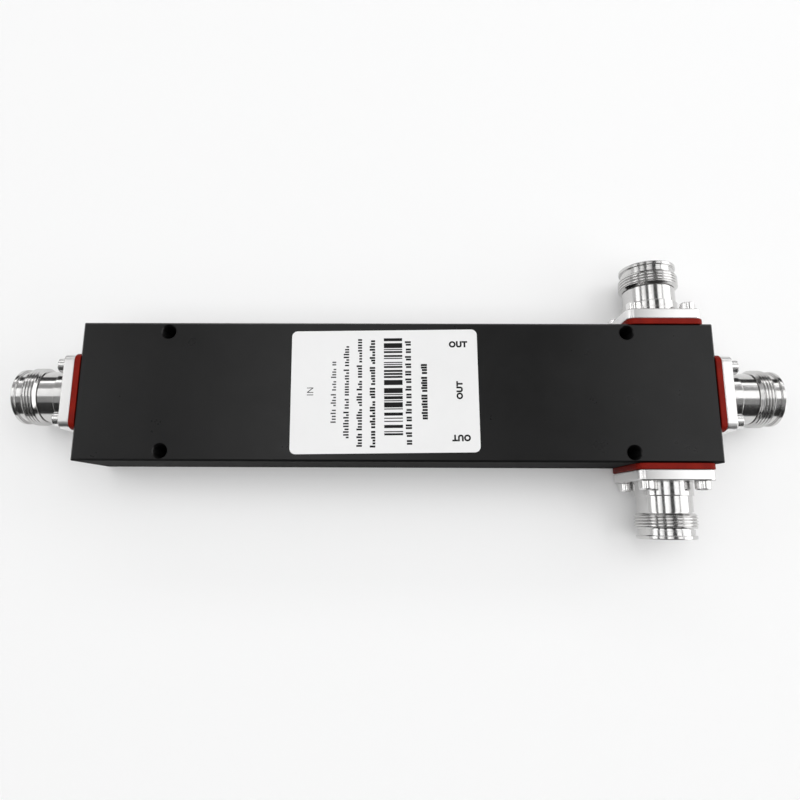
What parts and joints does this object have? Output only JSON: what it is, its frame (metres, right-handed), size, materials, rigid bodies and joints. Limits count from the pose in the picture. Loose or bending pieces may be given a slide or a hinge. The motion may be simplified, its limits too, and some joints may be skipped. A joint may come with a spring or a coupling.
{
  "type": "rf power splitter",
  "caption": "Coaxial power splitter: a black bored metal bar with a threaded input socket at one end and threaded output sockets at and beside the other end, on red gaskets.",
  "frame": {"origin": "middle of the bar's back face, on the surface that it lies on", "axes": "+X from the input to the far output, +Y towards the left output, +Z out of the label face"},
  "size_m": [0.2596, 0.0952, 0.0265],
  "materials": {
    "black_paint": "satin black paint on aluminium",
    "label_film": "white printed film, satin",
    "red_silicone": "moulded dark red silicone, matte",
    "bright_plating": "bright white plating on turned brass",
    "white_ptfe": "turned white PTFE",
    "silver_plating": "silver plating on turned brass",
    "screw_steel": "bright stainless steel"
  },
  "bodies": {
    "root": {"housing_bar": "black_paint", "label": "label_film", "inner_conductor": "silver_plating", "support_bead_1": "white_ptfe", "support_bead_2": "white_ptfe", "junction_block": "silver_plating", "input_gasket": "red_silicone", "input_socket_shell": "bright_plating", "input_insulator": "white_ptfe", "input_contact": "silver_plating", "input_screw_1": "screw_steel", "input_screw_2": "screw_steel", "input_screw_3": "screw_steel", "input_screw_4": "screw_steel", "output_end_gasket": "red_silicone", "output_end_socket_shell": "bright_plating", "output_end_insulator": "white_ptfe", "output_end_contact": "silver_plating", "output_end_screw_1": "screw_steel", "output_end_screw_2": "screw_steel", "output_end_screw_3": "screw_steel", "output_end_screw_4": "screw_steel", "output_left_gasket": "red_silicone", "output_left_socket_shell": "bright_plating", "output_left_insulator": "white_ptfe", "output_left_contact": "silver_plating", "output_left_screw_1": "screw_steel", "output_left_screw_2": "screw_steel", "output_left_screw_3": "screw_steel", "output_left_screw_4": "screw_steel", "output_right_gasket": "red_silicone", "output_right_socket_shell": "bright_plating", "output_right_insulator": "white_ptfe", "output_right_contact": "silver_plating", "output_right_screw_1": "screw_steel", "output_right_screw_2": "screw_steel", "output_right_screw_3": "screw_steel", "output_right_screw_4": "screw_steel"}
  },
  "joints": []
}
